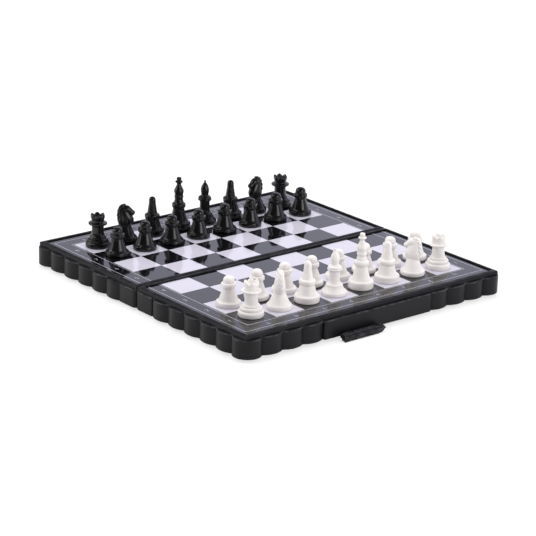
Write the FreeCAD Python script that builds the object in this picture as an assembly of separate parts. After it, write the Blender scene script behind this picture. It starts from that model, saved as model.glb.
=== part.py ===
import FreeCAD, Part
import math
import os

# Folding travel chess set: two fluted trays on a hinge, a latch, and 32 men.
# Millimetres; X along the hinge, Y to the rear, Z up from the table.

V = FreeCAD.Vector

# Case, from rim line to rim line, and the borders round its playing grid
CASE_WIDTH = 125.2
COLUMNS = "abcdefgh"
SIDE_BORDER = 9.4
END_BORDER = 10.4
HINGE_MARGIN = 1.8

# Heights
AXIS_Z = 1.0
CLOSED_GAP = 0.2
WALL_H = 7.2
BAND_H = 0.7
SHEET_T = 0.5
RIM_RISE = 0.6
FLOOR_T = 1.4

# Walls, rim and seats, measured inward from the rim line
RIM_W = 1.8
RIM_SLOPE_W = 0.6
RIM_SLOPE_H = 0.8
WALL_T = 2.0
CAVITY_R = 4.0
HINGE_GAP = 0.3
HINGE_CORNER_R = 0.9
HINGE_RIM_W = 1.8
HINGE_RIM_RISE = 0.7
HINGE_RIM_EDGE = 0.3
HINGE_WALL_T = 2.05
SHEET_PLAY = 0.2

# Flutes round the wall, measured outward from the rim line
FLUTE_PITCH = 9.5
FLUTE_OUT = 1.6
FLUTE_EDGE = 0.5
VALLEY_OUT = 0.1
FRONT_FLUTES = 3
SIDE_FLUTES = 5
CORNER_R = 5.5
CORNER_INSET = 3.7
PANEL_OUT = 1.5
PANEL_END_R = 1.35
FLAT_OUT = 0.8
FLAT_END_R = 0.7
FLAT_HINGE_R = 1.7
FLAT_EDGE = 0.3
PANEL_LAP = 0.25
PANEL_ROOT = 3.0

# Hinge
KNUCKLE_R = 1.05
KNUCKLE_NOTCH = 0.25
KNUCKLE_PLAY = 0.2
FRONT_KNUCKLE = 6.0
REAR_KNUCKLE = 8.0
HINGE_STATION = 46.0
PIN_R = 0.45
PIN_GRIP = 0.02
PIN_PLAY = 0.05

# Locating toes that also stand on the table
TOE_LENGTH = 8.0
TOE_T = 1.5
TOE_SETBACK = 0.25
FRONT_TOE_X = 35.0
REAR_TOE_X = 48.0

# Latch on the front panel and its catch in the rear panel
LATCH_X = -10.0
LATCH_WIDTH = 21.0
LATCH_REACH = 3.05
LATCH_PLATE_DROP = 0.5
LATCH_PLATE_RISE = 0.8
LATCH_CORNER = 1.6
LATCH_LIP_W = 0.75
LATCH_LIP_DROP = 1.65
LATCH_RIBS = 3
LATCH_RIB_W = 0.4
BARREL_R = 1.2
BARREL_RISE = 0.6
BARREL_GAP = 0.25
EAR_W = 2.4
EAR_STATION = 6.0
EAR_PLAY = 0.2
EAR_ROOT = 0.6
LATCH_PIN_R = 0.6
CATCH_DEPTH = 0.8
CATCH_PLAY = 0.3

# Profiles of the turned men, as radius and height from the foot upward
PAWN = ((4.7, 0), (4.7, 1.5), (3.75, 2.6), (2.1, 7.0), (2.85, 7.4), (2.85, 8.7),
        (2.1, 9.0), (2.0, 10.4), (0.9, 11.5))
ROOK = ((4.85, 0), (4.85, 1.8), (4.15, 2.3), (4.15, 3.4), (2.6, 4.7), (2.35, 8.9),
        (3.75, 9.3), (3.75, 9.9), (2.5, 10.3), (2.85, 13.4))
BISHOP = ((4.8, 0), (4.8, 2.4), (3.7, 3.1), (2.6, 6.9), (3.05, 7.2), (3.05, 8.4),
          (2.0, 8.9), (1.4, 13.2), (1.35, 14.8), (0.6, 15.8))
QUEEN = ((4.9, 0), (4.9, 1.5), (3.2, 4.2), (2.1, 5.2), (2.0, 9.4), (2.8, 9.9),
         (2.8, 11.1), (1.5, 12.0), (1.75, 14.2), (0.6, 16.9), (0.4, 18.1))
KING = ((4.85, 0), (4.75, 3.0), (3.6, 3.5), (2.6, 8.3), (2.8, 8.7), (2.8, 10.5), (1.85, 11.3),
        (1.75, 13.6), (2.0, 15.9), (1.1, 18.5), (0.85, 18.9), (1.6, 19.8), (1.0, 21.7))
KNIGHT_FOOT = ((4.8, 0), (4.8, 1.7), (4.1, 2.3), (2.7, 5.0), (2.3, 6.6))

# Rook's crown
CROWN_CUP_R = 2.15
CROWN_CUP_DEPTH = 1.7
CROWN_POINTS = 6
CROWN_NOTCH_W = 1.7
CROWN_NOTCH_DEPTH = 0.9

# Knight's head: side view from the nape over the ears to the chest, length and height
NAPE = ((-2.0, 6.0), (-3.1, 10.4), (-2.4, 13.2))
POLL = (-1.4, 14.2)
EARS = (0.0, 15.1)
BROW = (1.5, 14.3)
MUZZLE = (3.75, 11.9)
CHIN = (2.8, 10.4)
CHEST = ((2.5, 10.1), (3.4, 8.3), (2.0, 6.0))
NECK_HALF_W = 2.2
EARS_HALF_W = 1.2
MANE_HALF_W = 1.1
MUZZLE_HALF_W = 1.2
CHEEK_FROM = -1.5
CHEEK_TO = 0.6
EAR_SPLIT_W = 0.9
EAR_SPLIT_DEPTH = 1.0
KNIGHT_HEADING = {"b1": 55, "g1": 120, "b8": -38, "g8": 183}

# Levels and lines that follow from the sizes above
RIM_X = CASE_WIDTH / 2
SQUARE = (CASE_WIDTH - 2 * SIDE_BORDER) / len(COLUMNS)
RIM_Y = HINGE_MARGIN + len(COLUMNS) / 2 * SQUARE + END_BORDER
WALL_Z = AXIS_Z + CLOSED_GAP / 2
SHOULDER_Z = WALL_Z + WALL_H
SEAT_Z = SHOULDER_Z + BAND_H
SHEET_Z = SEAT_Z + SHEET_T
CREST_Z = SHEET_Z + RIM_RISE
CAVITY_Z = SEAT_Z - FLOOR_T
HINGE_Y = HINGE_GAP / 2
CAVITY_Y = RIM_Y - WALL_T
PANEL_Y = RIM_Y + PANEL_OUT
LATCH_Y = PANEL_Y + BARREL_GAP + BARREL_R
LATCH_Z = WALL_Z + BARREL_RISE


def box(x0, x1, y0, y1, z0, z1):
    return Part.makeBox(x1 - x0, y1 - y0, z1 - z0, V(x0, y0, z0))


def rod(radius, x0, x1, y, z):
    return Part.makeCylinder(radius, x1 - x0, V(x0, y, z), V(1, 0, 0))


def bar(points, x0, x1):
    """Outline of (y, z) points pushed along X."""
    return outline(points, lambda y, z: V(x0, y, z)).extrude(V(x1 - x0, 0, 0))


def outline(points, place):
    """Closed face through points; an entry holding two points is an arc through the first."""
    edges = []
    start = place(*points[0])
    last = start
    for entry in points[1:]:
        if isinstance(entry[0], tuple):
            middle = place(*entry[0])
            end = place(*entry[1])
            edges.append(Part.Arc(last, middle, end).toShape())
        else:
            end = place(*entry)
            edges.append(Part.makeLine(last, end))
        last = end
    if not last.isEqual(start, 0):
        edges.append(Part.makeLine(last, start))
    return Part.Face(Part.Wire(edges))


def turned(profile):
    """Solid of revolution about Z from (radius, height) points, closed on the axis."""
    points = ((0, profile[0][1]),) + tuple(profile) + ((0, profile[-1][1]),)
    face = outline(points, lambda r, z: V(r, 0, z))
    return face.revolve(V(0, 0, 0), V(0, 0, 1), 360)


def fused(shapes):
    return shapes[0].multiFuse(shapes[1:]).removeSplitter()


def pillar(x, y, radius):
    """Round flute standing on the wall's lower edge, with its top edge broken."""
    profile = (
        (radius, WALL_Z),
        (radius, SHOULDER_Z - FLUTE_EDGE),
        (radius - FLUTE_EDGE, SHOULDER_Z),
    )
    return turned(profile).translated(V(x, y, 0))


def raised_panel(length, out, radii, edge):
    """Plain panel along X from 0 to length, proud of y = 0, its two ends rounded and its top edge broken."""
    start_r, end_r = radii
    slant = 1 - math.sqrt(0.5)
    plan = (
        (0, -PANEL_ROOT),
        (length, -PANEL_ROOT),
        (length, out - end_r),
        ((length - slant * end_r, out - slant * end_r), (length - end_r, out)),
        (start_r, out),
        ((slant * start_r, out - slant * start_r), (0, out - start_r)),
    )
    panel = outline(plan, lambda x, y: V(x, y, WALL_Z)).extrude(V(0, 0, WALL_H))
    proud = -PANEL_ROOT / 2
    top = [e for e in panel.Edges if e.BoundBox.ZMin > SHOULDER_Z - edge and e.CenterOfMass.y > proud]
    return panel.makeChamfer(edge, top)


def fluted_wall():
    """Flutes round the outer three sides of the rear tray, with the plain panels between them."""
    rise = FLUTE_OUT - VALLEY_OUT
    radius = (FLUTE_PITCH ** 2 / 4 + rise ** 2) / (2 * rise)
    inset = radius - FLUTE_OUT
    reach = CORNER_INSET + math.sqrt(CORNER_R ** 2 - (CORNER_INSET + VALLEY_OUT) ** 2)
    panel_half = RIM_X - reach - FRONT_FLUTES * FLUTE_PITCH + PANEL_LAP
    flat_end = RIM_Y - reach - SIDE_FLUTES * FLUTE_PITCH + PANEL_LAP
    panel = raised_panel(2 * panel_half, PANEL_OUT, (PANEL_END_R, PANEL_END_R), FLUTE_EDGE)
    forms = [panel.translated(V(-panel_half, RIM_Y, 0))]
    for side in (-1, 1):
        forms.append(pillar(side * (RIM_X - CORNER_INSET), RIM_Y - CORNER_INSET, CORNER_R))
        for i in range(FRONT_FLUTES):
            x = RIM_X - reach - (i + 0.5) * FLUTE_PITCH
            forms.append(pillar(side * x, RIM_Y - inset, radius))
        for i in range(SIDE_FLUTES):
            y = RIM_Y - reach - (i + 0.5) * FLUTE_PITCH
            forms.append(pillar(side * (RIM_X - inset), y, radius))
    flat = raised_panel(flat_end - HINGE_Y, FLAT_OUT, (FLAT_END_R, FLAT_HINGE_R), FLAT_EDGE)
    flat.rotate(V(0, 0, 0), V(0, 0, 1), -90)
    flat.translate(V(RIM_X, flat_end, 0))
    forms.append(flat)
    forms.append(flat.mirror(V(0, 0, 0), V(1, 0, 0)))
    return forms


def rim_plan(inset, z):
    """Plan of the block at one height: sharp outer corners, rounded corners at the hinge."""
    x = RIM_X - inset
    y = RIM_Y - inset
    r = HINGE_CORNER_R
    slant = (1 - math.sqrt(0.5)) * r
    plan = (
        (x, HINGE_Y + r),
        (x, y),
        (-x, y),
        (-x, HINGE_Y + r),
        ((slant - x, HINGE_Y + slant), (r - x, HINGE_Y)),
        (x - r, HINGE_Y),
        ((x - slant, HINGE_Y + slant), (x, HINGE_Y + r)),
    )
    return outline(plan, lambda u, v: V(u, v, z))


def rim_block():
    """Block inside the flutes, its upper rim sloping outward."""
    slope_z = CREST_Z - RIM_SLOPE_H
    low = rim_plan(0, slope_z)
    crown = Part.makeLoft([low.OuterWire, rim_plan(RIM_SLOPE_W, CREST_Z).OuterWire], True, True)
    return [rim_plan(0, WALL_Z).extrude(V(0, 0, slope_z - WALL_Z)), crown]


def hinge_rim():
    """Taller rim beside the hinge, rounded off towards the sheet."""
    x = RIM_X - RIM_W
    inner = HINGE_Y + HINGE_RIM_W
    top = SHEET_Z + HINGE_RIM_RISE
    profile = (
        (HINGE_Y, CAVITY_Z),
        (inner, CAVITY_Z),
        (inner, top - HINGE_RIM_EDGE),
        (inner - HINGE_RIM_EDGE, top),
        (HINGE_Y, top),
    )
    return bar(profile, -x, x)


def tray():
    """Rear half's moulding before its hinge, toes and catch: open below, seat for the sheet on top."""
    body = fused(rim_block() + fluted_wall())
    cavity = box(WALL_T - RIM_X, RIM_X - WALL_T, HINGE_Y + HINGE_WALL_T, CAVITY_Y, 0, CAVITY_Z)
    uprights = [e for e in cavity.Edges if e.BoundBox.ZLength > CAVITY_Z / 2]
    cavity = cavity.makeFillet(CAVITY_R, uprights)
    seat = box(RIM_W - RIM_X, RIM_X - RIM_W, HINGE_Y + HINGE_RIM_W, RIM_Y - RIM_W, SEAT_Z, CREST_Z)
    return fused([body.cut(cavity).cut(seat), hinge_rim()])


def toes(centre_x):
    """Pair of ribs down the inside of the outer wall, set back where they enter the other tray."""
    forms = []
    for side in (-1, 1):
        x0 = side * centre_x - TOE_LENGTH / 2
        x1 = side * centre_x + TOE_LENGTH / 2
        forms.append(box(x0, x1, CAVITY_Y - TOE_T, CAVITY_Y, WALL_Z, CAVITY_Z))
        forms.append(box(x0, x1, CAVITY_Y - TOE_T, CAVITY_Y - TOE_SETBACK, 0, WALL_Z))
    return forms


def knuckle_spans():
    """X ranges of the front and rear knuckles at every hinge station."""
    front = []
    rear = []
    for centre in (-HINGE_STATION, 0, HINGE_STATION):
        rear.append((centre - REAR_KNUCKLE / 2, centre + REAR_KNUCKLE / 2))
        inner = REAR_KNUCKLE / 2 + KNUCKLE_PLAY
        front.append((centre - inner - FRONT_KNUCKLE, centre - inner))
        front.append((centre + inner, centre + inner + FRONT_KNUCKLE))
    return front, rear


def hinged(shell, own_spans, other_spans, bore):
    """Adds a tray's own knuckles, flat below, and clears the other tray's knuckles."""
    for x0, x1 in other_spans:
        shell = shell.cut(rod(KNUCKLE_R + KNUCKLE_NOTCH, x0 - KNUCKLE_PLAY, x1 + KNUCKLE_PLAY, 0, AXIS_Z))
    for x0, x1 in own_spans:
        knuckle = rod(KNUCKLE_R, x0, x1, 0, AXIS_Z)
        above_table = box(x0, x1, -KNUCKLE_R, KNUCKLE_R, 0, AXIS_Z + KNUCKLE_R)
        shell = shell.fuse(knuckle.common(above_table))
    for x0, x1 in own_spans:
        shell = shell.cut(rod(bore, x0, x1, 0, AXIS_Z))
    return shell.removeSplitter()


def ear_spans():
    """X ranges of the two eyes that hold the latch's pin."""
    centres = (LATCH_X - EAR_STATION, LATCH_X + EAR_STATION)
    return [(x - EAR_W / 2, x + EAR_W / 2) for x in centres]


def latch_ears():
    """Pair of eyes on the front panel, rounded off below the closed rim so the rear tray swings clear."""
    run = math.sqrt(BARREL_R ** 2 - BARREL_RISE ** 2)
    slant = BARREL_R / math.sqrt(2)
    top = LATCH_Z + BARREL_R
    profile = (
        (EAR_ROOT - PANEL_Y, WALL_Z),
        (EAR_ROOT - PANEL_Y, top),
        (-LATCH_Y, top),
        ((-LATCH_Y - BARREL_R, LATCH_Z), (-LATCH_Y, LATCH_Z - BARREL_R)),
        ((-LATCH_Y + slant, LATCH_Z - slant), (-LATCH_Y + run, WALL_Z)),
    )
    return [bar(profile, x0, x1) for x0, x1 in ear_spans()]


def front_shell(half, front, rear):
    shell = half.mirror(V(0, 0, 0), V(0, 1, 0))
    front_toes = [t.mirror(V(0, 0, 0), V(0, 1, 0)) for t in toes(FRONT_TOE_X)]
    shell = fused([shell] + front_toes + latch_ears())
    for x0, x1 in ear_spans():
        shell = shell.cut(rod(LATCH_PIN_R + PIN_GRIP, x0, x1, -LATCH_Y, LATCH_Z))
    return hinged(shell, front, rear, PIN_R + PIN_GRIP)


def rear_shell(half, front, rear):
    """Rear tray; its catch is where the latch's lip arrives when the set is folded shut."""
    shell = fused([half] + toes(REAR_TOE_X))
    lip_z = 2 * AXIS_Z - LATCH_Z + LATCH_REACH
    width = LATCH_WIDTH / 2 + CATCH_PLAY
    catch = box(LATCH_X - width, LATCH_X + width, PANEL_Y - CATCH_DEPTH, PANEL_Y + CATCH_PLAY,
                lip_z - LATCH_LIP_W - CATCH_PLAY, lip_z + CATCH_PLAY)
    return hinged(shell.cut(catch), rear, front, PIN_R + PIN_PLAY)


def sheet():
    """Printed steel sheet lying in the rear tray's seat."""
    x = RIM_X - RIM_W - SHEET_PLAY
    return box(-x, x, HINGE_Y + HINGE_RIM_W + SHEET_PLAY, RIM_Y - RIM_W - SHEET_PLAY, SEAT_Z, SHEET_Z)


def hinge_pin(centre):
    half = REAR_KNUCKLE / 2 + KNUCKLE_PLAY + FRONT_KNUCKLE
    return rod(PIN_R, centre - half, centre + half, 0, AXIS_Z)


def latch_pin():
    half = LATCH_WIDTH / 2 - LATCH_CORNER
    return rod(LATCH_PIN_R, LATCH_X - half, LATCH_X + half, -LATCH_Y, LATCH_Z)


def latch():
    """Barrel and pointed plate, cleared round the eyes, grip ribs on top and the catching lip below its edge."""
    tip = LATCH_WIDTH / 2
    end = tip - LATCH_CORNER
    edge = -LATCH_Y - LATCH_REACH
    low = LATCH_Z - LATCH_PLATE_DROP
    high = LATCH_Z + LATCH_PLATE_RISE
    corners = (
        (-end, -LATCH_Y),
        (-tip, -LATCH_Y - LATCH_REACH / 2),
        (-end, edge),
        (end, edge),
        (tip, -LATCH_Y - LATCH_REACH / 2),
        (end, -LATCH_Y),
    )
    plate = outline(corners, lambda x, y: V(LATCH_X + x, y, low)).extrude(V(0, 0, high - low))
    x0 = LATCH_X - end
    x1 = LATCH_X + end
    lip = box(x0, x1, edge, edge + LATCH_LIP_W, LATCH_Z - LATCH_LIP_DROP, low)
    forms = [rod(BARREL_R, x0, x1, -LATCH_Y, LATCH_Z), plate, lip]
    pitch = (LATCH_REACH - LATCH_RIB_W) / LATCH_RIBS
    for i in range(LATCH_RIBS):
        y = edge + LATCH_RIB_W + i * pitch
        forms.append(box(x0, x1, y, y + LATCH_RIB_W, high, LATCH_Z + BARREL_R))
    body = fused(forms)
    for near, far in ear_spans():
        body = body.cut(rod(BARREL_R + BARREL_GAP, near - EAR_PLAY, far + EAR_PLAY, -LATCH_Y, LATCH_Z))
    return body.cut(rod(LATCH_PIN_R + PIN_PLAY, x0, x1, -LATCH_Y, LATCH_Z))


def rook():
    """Turned tower with a cupped crown cut into points by V-notches across it."""
    top = ROOK[-1][1]
    floor_z = top - CROWN_CUP_DEPTH
    cup = turned(((CROWN_CUP_R - CROWN_NOTCH_W / 4, floor_z), (CROWN_CUP_R, top)))
    body = turned(ROOK).cut(cup)
    wide = CROWN_NOTCH_W / 2
    notch = ((-wide, top), (wide, top), (0, top - CROWN_NOTCH_DEPTH))
    reach = 2 * ROOK[-1][0]
    for i in range(CROWN_POINTS // 2):
        groove = bar(notch, -reach, reach)
        groove.rotate(V(0, 0, 0), V(0, 0, 1), i * 360 / CROWN_POINTS)
        body = body.cut(groove)
    return body


def horse_head():
    """Head facing +X: side view, front view and plan view cut from one another, then the ears split."""
    side = (NAPE[0], NAPE[1:], POLL, EARS, BROW, MUZZLE, CHIN, CHEST[0], CHEST[1:])
    front = (
        (-NECK_HALF_W, NAPE[0][1]),
        (NECK_HALF_W, NAPE[0][1]),
        (EARS_HALF_W, EARS[1]),
        (-EARS_HALF_W, EARS[1]),
    )
    back = NAPE[1][0]
    tip = MUZZLE[0]
    plan = (
        (back, -MANE_HALF_W),
        (CHEEK_FROM, -NECK_HALF_W),
        (CHEEK_TO, -NECK_HALF_W),
        (tip, -MUZZLE_HALF_W),
        (tip, MUZZLE_HALF_W),
        (CHEEK_TO, NECK_HALF_W),
        (CHEEK_FROM, NECK_HALF_W),
        (back, MANE_HALF_W),
    )
    width = 2 * NECK_HALF_W
    head = outline(side, lambda u, z: V(u, -NECK_HALF_W, z)).extrude(V(0, width, 0))
    head = head.common(bar(front, back, tip))
    low = NAPE[0][1]
    head = head.common(outline(plan, lambda u, v: V(u, v, low)).extrude(V(0, 0, EARS[1] - low)))
    split = ((-EAR_SPLIT_W / 2, EARS[1]), (EAR_SPLIT_W / 2, EARS[1]), (0, EARS[1] - EAR_SPLIT_DEPTH))
    return head.cut(bar(split, back, BROW[0]))


def knight(heading):
    body = turned(KNIGHT_FOOT).fuse(horse_head()).removeSplitter()
    body.rotate(V(0, 0, 0), V(0, 0, 1), heading)
    return body


def square_centre(square):
    """Centre of a square such as b1 on the sheet's surface."""
    middle = (len(COLUMNS) - 1) / 2
    x = (COLUMNS.index(square[0]) - middle) * SQUARE
    step = int(square[1]) - 1 - middle
    y = step * SQUARE + math.copysign(HINGE_MARGIN, step)
    return V(x, y, SHEET_Z)


def back_rank(colour, row, middle):
    order = ("rook", "knight", "bishop") + middle + ("bishop", "knight", "rook")
    return [(colour, kind, column + row) for kind, column in zip(order, COLUMNS)]


def men():
    """Every man by node name, standing on its starting square."""
    turned_men = {"pawn": turned(PAWN), "rook": rook(), "bishop": turned(BISHOP),
                  "queen": turned(QUEEN), "king": turned(KING)}
    places = back_rank("white", "1", ("queen", "king"))
    places += [("white", "pawn", column + "2") for column in COLUMNS]
    places += [("black", "pawn", column + "7") for column in COLUMNS]
    places += back_rank("black", "8", ("king", "queen"))
    forms = {}
    for colour, kind, square in places:
        body = knight(KNIGHT_HEADING[square]) if kind == "knight" else turned_men[kind]
        forms[f"{colour}_{kind}_{square}"] = body.translated(square_centre(square))
    return forms


half_tray = tray()
front_knuckles, rear_knuckles = knuckle_spans()
rear_sheet = sheet()

nodes = {
    "front_shell": front_shell(half_tray, front_knuckles, rear_knuckles),
    "rear_shell": rear_shell(half_tray, front_knuckles, rear_knuckles),
    "front_sheet": rear_sheet.mirror(V(0, 0, 0), V(0, 1, 0)),
    "rear_sheet": rear_sheet,
    "hinge_pin_left": hinge_pin(-HINGE_STATION),
    "hinge_pin_centre": hinge_pin(0),
    "hinge_pin_right": hinge_pin(HINGE_STATION),
    "latch": latch(),
    "latch_pin": latch_pin(),
}
nodes.update(men())

os.makedirs("parts", exist_ok=True)
for name, shape in nodes.items():
    shape.exportStep(f"parts/{name}.step")
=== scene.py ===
import math

import bmesh
import bpy
import numpy as np
from mathutils import Matrix, Vector


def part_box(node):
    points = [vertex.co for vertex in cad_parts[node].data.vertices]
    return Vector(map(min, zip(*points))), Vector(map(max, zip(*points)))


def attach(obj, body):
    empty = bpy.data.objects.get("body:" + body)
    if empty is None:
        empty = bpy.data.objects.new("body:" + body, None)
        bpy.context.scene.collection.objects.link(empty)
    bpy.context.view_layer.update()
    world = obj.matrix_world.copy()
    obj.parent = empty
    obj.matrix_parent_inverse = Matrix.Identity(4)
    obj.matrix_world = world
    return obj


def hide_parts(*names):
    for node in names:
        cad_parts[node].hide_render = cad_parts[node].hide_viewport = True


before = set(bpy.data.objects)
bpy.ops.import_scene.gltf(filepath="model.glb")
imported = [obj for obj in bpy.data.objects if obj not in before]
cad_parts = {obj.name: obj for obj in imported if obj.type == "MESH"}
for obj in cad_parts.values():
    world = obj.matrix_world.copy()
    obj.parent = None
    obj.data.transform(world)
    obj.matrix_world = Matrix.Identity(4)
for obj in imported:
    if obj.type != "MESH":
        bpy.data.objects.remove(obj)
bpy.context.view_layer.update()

# Lengths below are in millimetres, and a mesh is made in metres
MM = 0.001

# Photograph's camera
CAMERA_PLACE = (-535.6, -647.3, 294.9)
CAMERA_HEADING = 50.34
CAMERA_PITCH = -19.05
CAMERA_ROLL = 1.52
CAMERA_LENS = 151.97
SENSOR_WIDTH = 36.0
CAMERA_NEAR = 10.0

# Playing grid and its printed lines
SQUARE = 13.3
COLUMNS = "abcdefgh"
HALF_ROWS = 4
HINGE_MARGIN = 1.8
INNER_LINE = 0.65
OUTER_LINE = 5.6
LINE_WIDTH = 0.32
FIGURE_HEIGHT = 2.3
FONT_OVER_HEIGHT = 1.35
FIGURE_STEPS = 4
FIGURE_LIFT = 0.012
SHEET_ROUND = 0.12

# Tray moulding, measured from the rim line
CORNER_R = 5.5
CORNER_INSET = 3.7
CORNER_STEPS = 33
FLUTE_PITCH = 9.5
FLUTE_OUT = 1.6
FLUTE_ROUND = 0.55
FLUTE_STEPS = 17
FLUTE_TOP_STEPS = 5
VALLEY_OUT = 0.1
FRONT_FLUTES = 3
SIDE_FLUTES = 5
PANEL_OUT = 1.5
PANEL_END_R = 1.35
PANEL_END_START = 20
PANEL_END_STEPS = 6
FLAT_OUT = 0.8
FLAT_END_R = 0.7
FLAT_END_TURN = 70
FLAT_END_STEPS = 5
FLAT_HINGE_R = 1.7
FLAT_HINGE_STEPS = 9
PANEL_LAP = 0.25
RIM_W = 1.8
RIM_SLOPE_W = 0.6
RIM_SLOPE_H = 0.8
SLOPE_BEND_IN = 0.3
SLOPE_BEND_UP = 0.55
RIM_RISE = 0.6
WALL_T = 2.0
WALL_H = 7.2
WALL_LIFT = 0.1
FLOOR_T = 1.4
CAVITY_R = 4.0
HINGE_GAP = 0.3
HINGE_RIM_W = 1.8
HINGE_RIM_RISE = 0.7
HINGE_SLOPE_W = 0.5
CROWN_DROP = 0.22
CROWN_STEPS = 7
# Crown's edge mask: the case lightens it by rubbing and by a painted highlight
CROWN_RUB_AND_HIGHLIGHT = 0.2
HINGE_WALL_T = 2.05
EDGE_ROUND = 0.15
LOWER_EDGE_WEAR = 0.5

# Hinge
AXIS_Z = 1.0
KNUCKLE_R = 1.05
NOTCH_R = 1.3
NOTCH_ANGLES = (24, 36, 50, 68)
KNUCKLE_PLAY = 0.2
FRONT_KNUCKLE = 6.0
REAR_KNUCKLE = 8.0
HINGE_STATION = 46.0

# Toes
TOE_LENGTH = 8.0
TOE_T = 1.5
TOE_SETBACK = 0.25
TOE_ROUND = 0.1
FRONT_TOE_X = 35.0
REAR_TOE_X = 48.0

# Latch and its catch
LATCH_REACH = 3.05
LATCH_CORNER = 1.6
LATCH_TIP = 0.3
LATCH_TIP_REACH = 1.6
LATCH_TIP_DROP = 0.35
LATCH_CHEEK_T = 0.8
LATCH_CHEEK_DROP = 1.3
LATCH_CHEEK_BACK = 0.95
LATCH_OUTER_RIBS = 3
LATCH_OUTER_RIB = 0.22
LATCH_OUTER_POINTS = 21
LATCH_PLATE_DROP = 0.5
LATCH_PLATE_RISE = 0.8
LATCH_LIP_W = 0.75
LATCH_LIP_DROP = 1.6
LATCH_RIBS = 3
LATCH_POINTS = 31
RIB_POWER = 0.6
RIB_RUB_AND_HIGHLIGHT_POWER = 4
BARREL_R = 1.15
BARREL_GAP = 0.25
EAR_W = 2.4
EAR_STATION = 6.0
EAR_PLAY = 0.2
EAR_STEPS = 21
CATCH_DEPTH = 0.8
CATCH_PLAY = 0.3

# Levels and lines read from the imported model
_, SHELL_HIGH = (np.array(corner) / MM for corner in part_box("rear_shell"))
SHEET_LOW, SHEET_HIGH = (np.array(corner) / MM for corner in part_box("rear_sheet"))
LATCH_LOW, LATCH_HIGH = (np.array(corner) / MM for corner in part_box("latch"))
PIN_LOW, PIN_HIGH = (np.array(corner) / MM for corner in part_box("latch_pin"))
RIM_X = SHELL_HIGH[0] - (CORNER_R - CORNER_INSET)
RIM_Y = SHELL_HIGH[1] - (CORNER_R - CORNER_INSET)
SEAT_Z = SHEET_LOW[2]
SHEET_Z = SHEET_HIGH[2]
CREST_Z = SHEET_Z + RIM_RISE
HINGE_CREST_Z = SHEET_Z + HINGE_RIM_RISE
SLOPE_Z = CREST_Z - RIM_SLOPE_H
CAVITY_Z = SEAT_Z - FLOOR_T
WALL_Z = AXIS_Z + WALL_LIFT
SHOULDER_Z = WALL_Z + WALL_H
HINGE_Y = HINGE_GAP / 2
PANEL_Y = RIM_Y + PANEL_OUT
GRID_X = HALF_ROWS * SQUARE
GRID_Y = HINGE_MARGIN + HALF_ROWS * SQUARE
LATCH_X = (LATCH_LOW[0] + LATCH_HIGH[0]) / 2
LATCH_HALF = (LATCH_HIGH[0] - LATCH_LOW[0]) / 2
LATCH_Y = (PIN_LOW[1] + PIN_HIGH[1]) / 2
LATCH_Z = (PIN_LOW[2] + PIN_HIGH[2]) / 2
LATCH_EDGE_Y = LATCH_Y - LATCH_REACH
LIP_Z = LATCH_Z - LATCH_LIP_DROP

# Colours, linear
CASE_COLOUR = (0.0056, 0.0056, 0.0072, 1)
# Case edges lightened by rubbing and by a painted highlight
CASE_WORN_AND_HIGHLIGHT = (0.075, 0.075, 0.08, 1)
PRINT_DARK = (0.0045, 0.0045, 0.006, 1)
PRINT_LIGHT = (0.605, 0.578, 0.672, 1)
PRINT_LINE = (0.34, 0.335, 0.375, 1)
WHITE_MEN = (0.865, 0.825, 0.81, 1)
WHITE_MEN_WORN = (0.83, 0.79, 0.77, 1)
# Painted shade in the white men's grooves
WHITE_MEN_GROOVE_SHADE = (0.6, 0.55, 0.5, 1)
BLACK_MEN = (0.0035, 0.0035, 0.0038, 1)
BLACK_MEN_WORN = (0.02, 0.02, 0.02, 1)
# Painted shade in the black men's grooves
BLACK_MEN_GROOVE_SHADE = (0.002, 0.002, 0.002, 1)
STEEL = (0.55, 0.55, 0.57, 1)
STEEL_DARK = (0.4, 0.4, 0.42, 1)
FIGURE_DARK = (0.3, 0.3, 0.34, 1)
DUST_COLOUR = (0.09, 0.09, 0.09, 1)
ROOM_LIGHT = (0.66, 0.66, 0.66, 1)
ROOM_DIM = (0.16, 0.16, 0.16, 1)
ROOM_GLOSS = (0.06, 0.06, 0.066, 1)
SWEEP_GLOSS = (0.98, 0.98, 1.2, 1)
TABLE_GLOSS = (0.9, 0.9, 0.9, 1)
FLOOR = (0.9, 0.9, 0.9, 1)
FLOOR_SHADE = (0.88, 0.88, 0.88, 1)
WHITE = (1, 1, 1, 1)

# Finishes: range of roughness, and depth in millimetres and strength of the grain
CASE_ROUGHNESS = (0.36, 0.5)
CASE_BUMP = (0.02, 0.25)
CASE_SPECULAR = 0.22
PRINT_ROUGHNESS = (0.03, 0.075)
PRINT_BUMP = (0.09, 0.12)
STEEL_ROUGHNESS = (0.22, 0.4)
STEEL_BUMP = (0.01, 0.2)
FIGURE_ROUGHNESS = (0.08, 0.16)
WHITE_MEN_ROUGHNESS = 0.38
BLACK_MEN_ROUGHNESS = 0.26
MEN_ROUGHNESS_SPREAD = 0.06
MEN_BUMP = (0.02, 0.2)
MEN_MOTTLE = (0.3, 0.8)
MEN_UNEVEN = 0.93
FINE_DETAIL = 3.0
BROAD_DETAIL = 4.0
WEAR_DETAIL = 3.0
WEAR_PATCHES = (0.35, 0.7)
DUST_DETAIL = 6.0
DUST_FACING = (0.4, 0.95)
DUST_PATCHES = (0.45, 0.75)

# Studio: headings in degrees, lengths in metres, ranges where a smooth step starts and ends
DIM_HEADING = 222.0
DIM_RANGE = (0.2, 0.9)
SWEEP_HEADING = 15
SWEEP_RANGE = (0.05, 0.95)
TABLE_RANGE = (0.0, 0.2)
FLOOR_HALF = 4.0
FLOOR_GLOW = 0.2
FLOOR_CLEAR = 0.6
FLOOR_ROUGHNESS = 0.9
FLOOR_SPECULAR = 0.1
UNDER_HALF = 0.056
UNDER_GLOW = 0.8

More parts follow.
